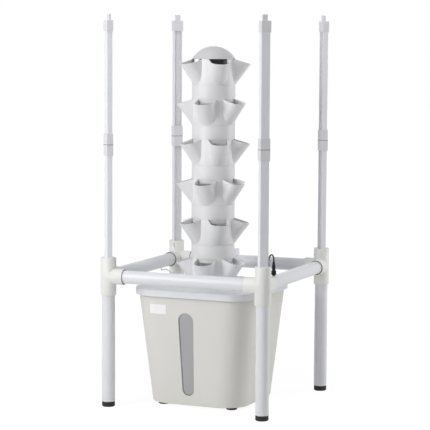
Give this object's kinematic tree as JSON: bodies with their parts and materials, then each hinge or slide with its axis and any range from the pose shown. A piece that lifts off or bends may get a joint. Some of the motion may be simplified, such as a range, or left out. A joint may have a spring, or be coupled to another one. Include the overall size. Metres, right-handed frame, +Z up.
{
  "type": "hydroponic tower",
  "caption": "Planting tower of stacked pocket rings on a square nutrient tank with a pump, inside a pipe frame that carries a plug-together light pole at each corner.",
  "frame": {"origin": "on the floor at the centre of the square of legs", "axes": "+Z up, -Y towards the front with the level window, +X to the right seen from the front"},
  "size_m": [0.548, 0.548, 1.181],
  "materials": {
    "pipe": "smooth white pipe, satin gloss",
    "fitting": "moulded cream plastic, satin",
    "rubber": "matt black rubber",
    "ring": "dark grey sealing ring",
    "steel": "plain steel",
    "bar": "extruded pale plastic, satin",
    "bar_cover": "clear strip",
    "led_board": "white board with yellow lights",
    "tank": "warm light grey moulding, fine grain",
    "window": "smoky translucent plastic",
    "lid": "white moulding, satin",
    "tower": "light grey moulding, fine grain",
    "pump": "black moulding",
    "impeller": "plain moulding",
    "lead_black": "black cable jacket",
    "lead_grey": "light grey cable jacket"
  },
  "bodies": {
    "frame": {"leg_front_left": "pipe", "leg_front_right": "pipe", "leg_back_right": "pipe", "leg_back_left": "pipe", "rail_front": "pipe", "rail_right": "pipe", "rail_back": "pipe", "rail_left": "pipe", "riser_pipe": "pipe", "fitting_front_left": "fitting", "fitting_front_right": "fitting", "fitting_back_right": "fitting", "fitting_back_left": "fitting", "pole_bushes": "fitting", "foot_plugs": "rubber", "tank_feet": "rubber", "pump_feet": "rubber", "rail_rings": "ring", "fitting_screws": "steel", "pump_shaft": "steel", "lower_channels": "bar", "lower_caps": "bar", "timer_box": "bar", "lower_covers": "bar_cover", "lower_led_boards": "led_board", "tank": "tank", "tank_window": "window", "pump_housing": "pump", "pump_cover": "pump", "water_diffuser": "pump", "lead_gland": "lead_black", "light_lead": "lead_black", "light_lead_plug": "lead_black", "link_lead_grommets": "lead_grey", "link_lead": "lead_grey"},
    "upper_light_front_left": {"upper_channel_front_left": "bar", "upper_cover_front_left": "bar_cover", "upper_led_board_front_left": "led_board", "upper_caps_front_left": "bar"},
    "upper_light_front_right": {"upper_channel_front_right": "bar", "upper_cover_front_right": "bar_cover", "upper_led_board_front_right": "led_board", "upper_caps_front_right": "bar"},
    "upper_light_back_right": {"upper_channel_back_right": "bar", "upper_cover_back_right": "bar_cover", "upper_led_board_back_right": "led_board", "upper_caps_back_right": "bar"},
    "upper_light_back_left": {"upper_channel_back_left": "bar", "upper_cover_back_left": "bar_cover", "upper_led_board_back_left": "led_board", "upper_caps_back_left": "bar"},
    "lid": {"tank_lid": "lid"},
    "tier_6": {"tier_6": "tower"},
    "tier_5": {"tier_5": "tower"},
    "tier_4": {"tier_4": "tower"},
    "tier_3": {"tier_3": "tower"},
    "tier_2": {"tier_2": "tower"},
    "tier_1": {"tier_1": "tower"},
    "dome": {"dome_cap": "tower"},
    "impeller": {"pump_impeller": "impeller"}
  },
  "joints": [
    {"name": "lid_lift", "type": "slide", "parent": "frame", "child": "lid", "axis": [0, 0, 1], "range_m": [0, 0.06]},
    {"name": "tier_6_lift", "type": "slide", "parent": "lid", "child": "tier_6", "axis": [0, 0, 1], "range_m": [0, 0.06]},
    {"name": "tier_5_lift", "type": "slide", "parent": "tier_6", "child": "tier_5", "axis": [0, 0, 1], "range_m": [0, 0.06]},
    {"name": "tier_4_lift", "type": "slide", "parent": "tier_5", "child": "tier_4", "axis": [0, 0, 1], "range_m": [0, 0.06]},
    {"name": "tier_3_lift", "type": "slide", "parent": "tier_4", "child": "tier_3", "axis": [0, 0, 1], "range_m": [0, 0.06]},
    {"name": "tier_2_lift", "type": "slide", "parent": "tier_3", "child": "tier_2", "axis": [0, 0, 1], "range_m": [0, 0.06]},
    {"name": "tier_1_lift", "type": "slide", "parent": "tier_2", "child": "tier_1", "axis": [0, 0, 1], "range_m": [0, 0.06]},
    {"name": "dome_lift", "type": "slide", "parent": "tier_1", "child": "dome", "axis": [0, 0, 1], "range_m": [0, 0.06]},
    {"name": "upper_light_front_left_lift", "type": "slide", "parent": "frame", "child": "upper_light_front_left", "axis": [0, 0, 1], "range_m": [0, 0.06]},
    {"name": "upper_light_front_right_lift", "type": "slide", "parent": "frame", "child": "upper_light_front_right", "axis": [0, 0, 1], "range_m": [0, 0.06]},
    {"name": "upper_light_back_right_lift", "type": "slide", "parent": "frame", "child": "upper_light_back_right", "axis": [0, 0, 1], "range_m": [0, 0.06]},
    {"name": "upper_light_back_left_lift", "type": "slide", "parent": "frame", "child": "upper_light_back_left", "axis": [0, 0, 1], "range_m": [0, 0.06]},
    {"name": "impeller_spin", "type": "hinge", "parent": "frame", "child": "impeller", "pos_m": [-0.003, -0.029, 0.042], "axis": [0, 1, 0], "continuous": true}
  ]
}
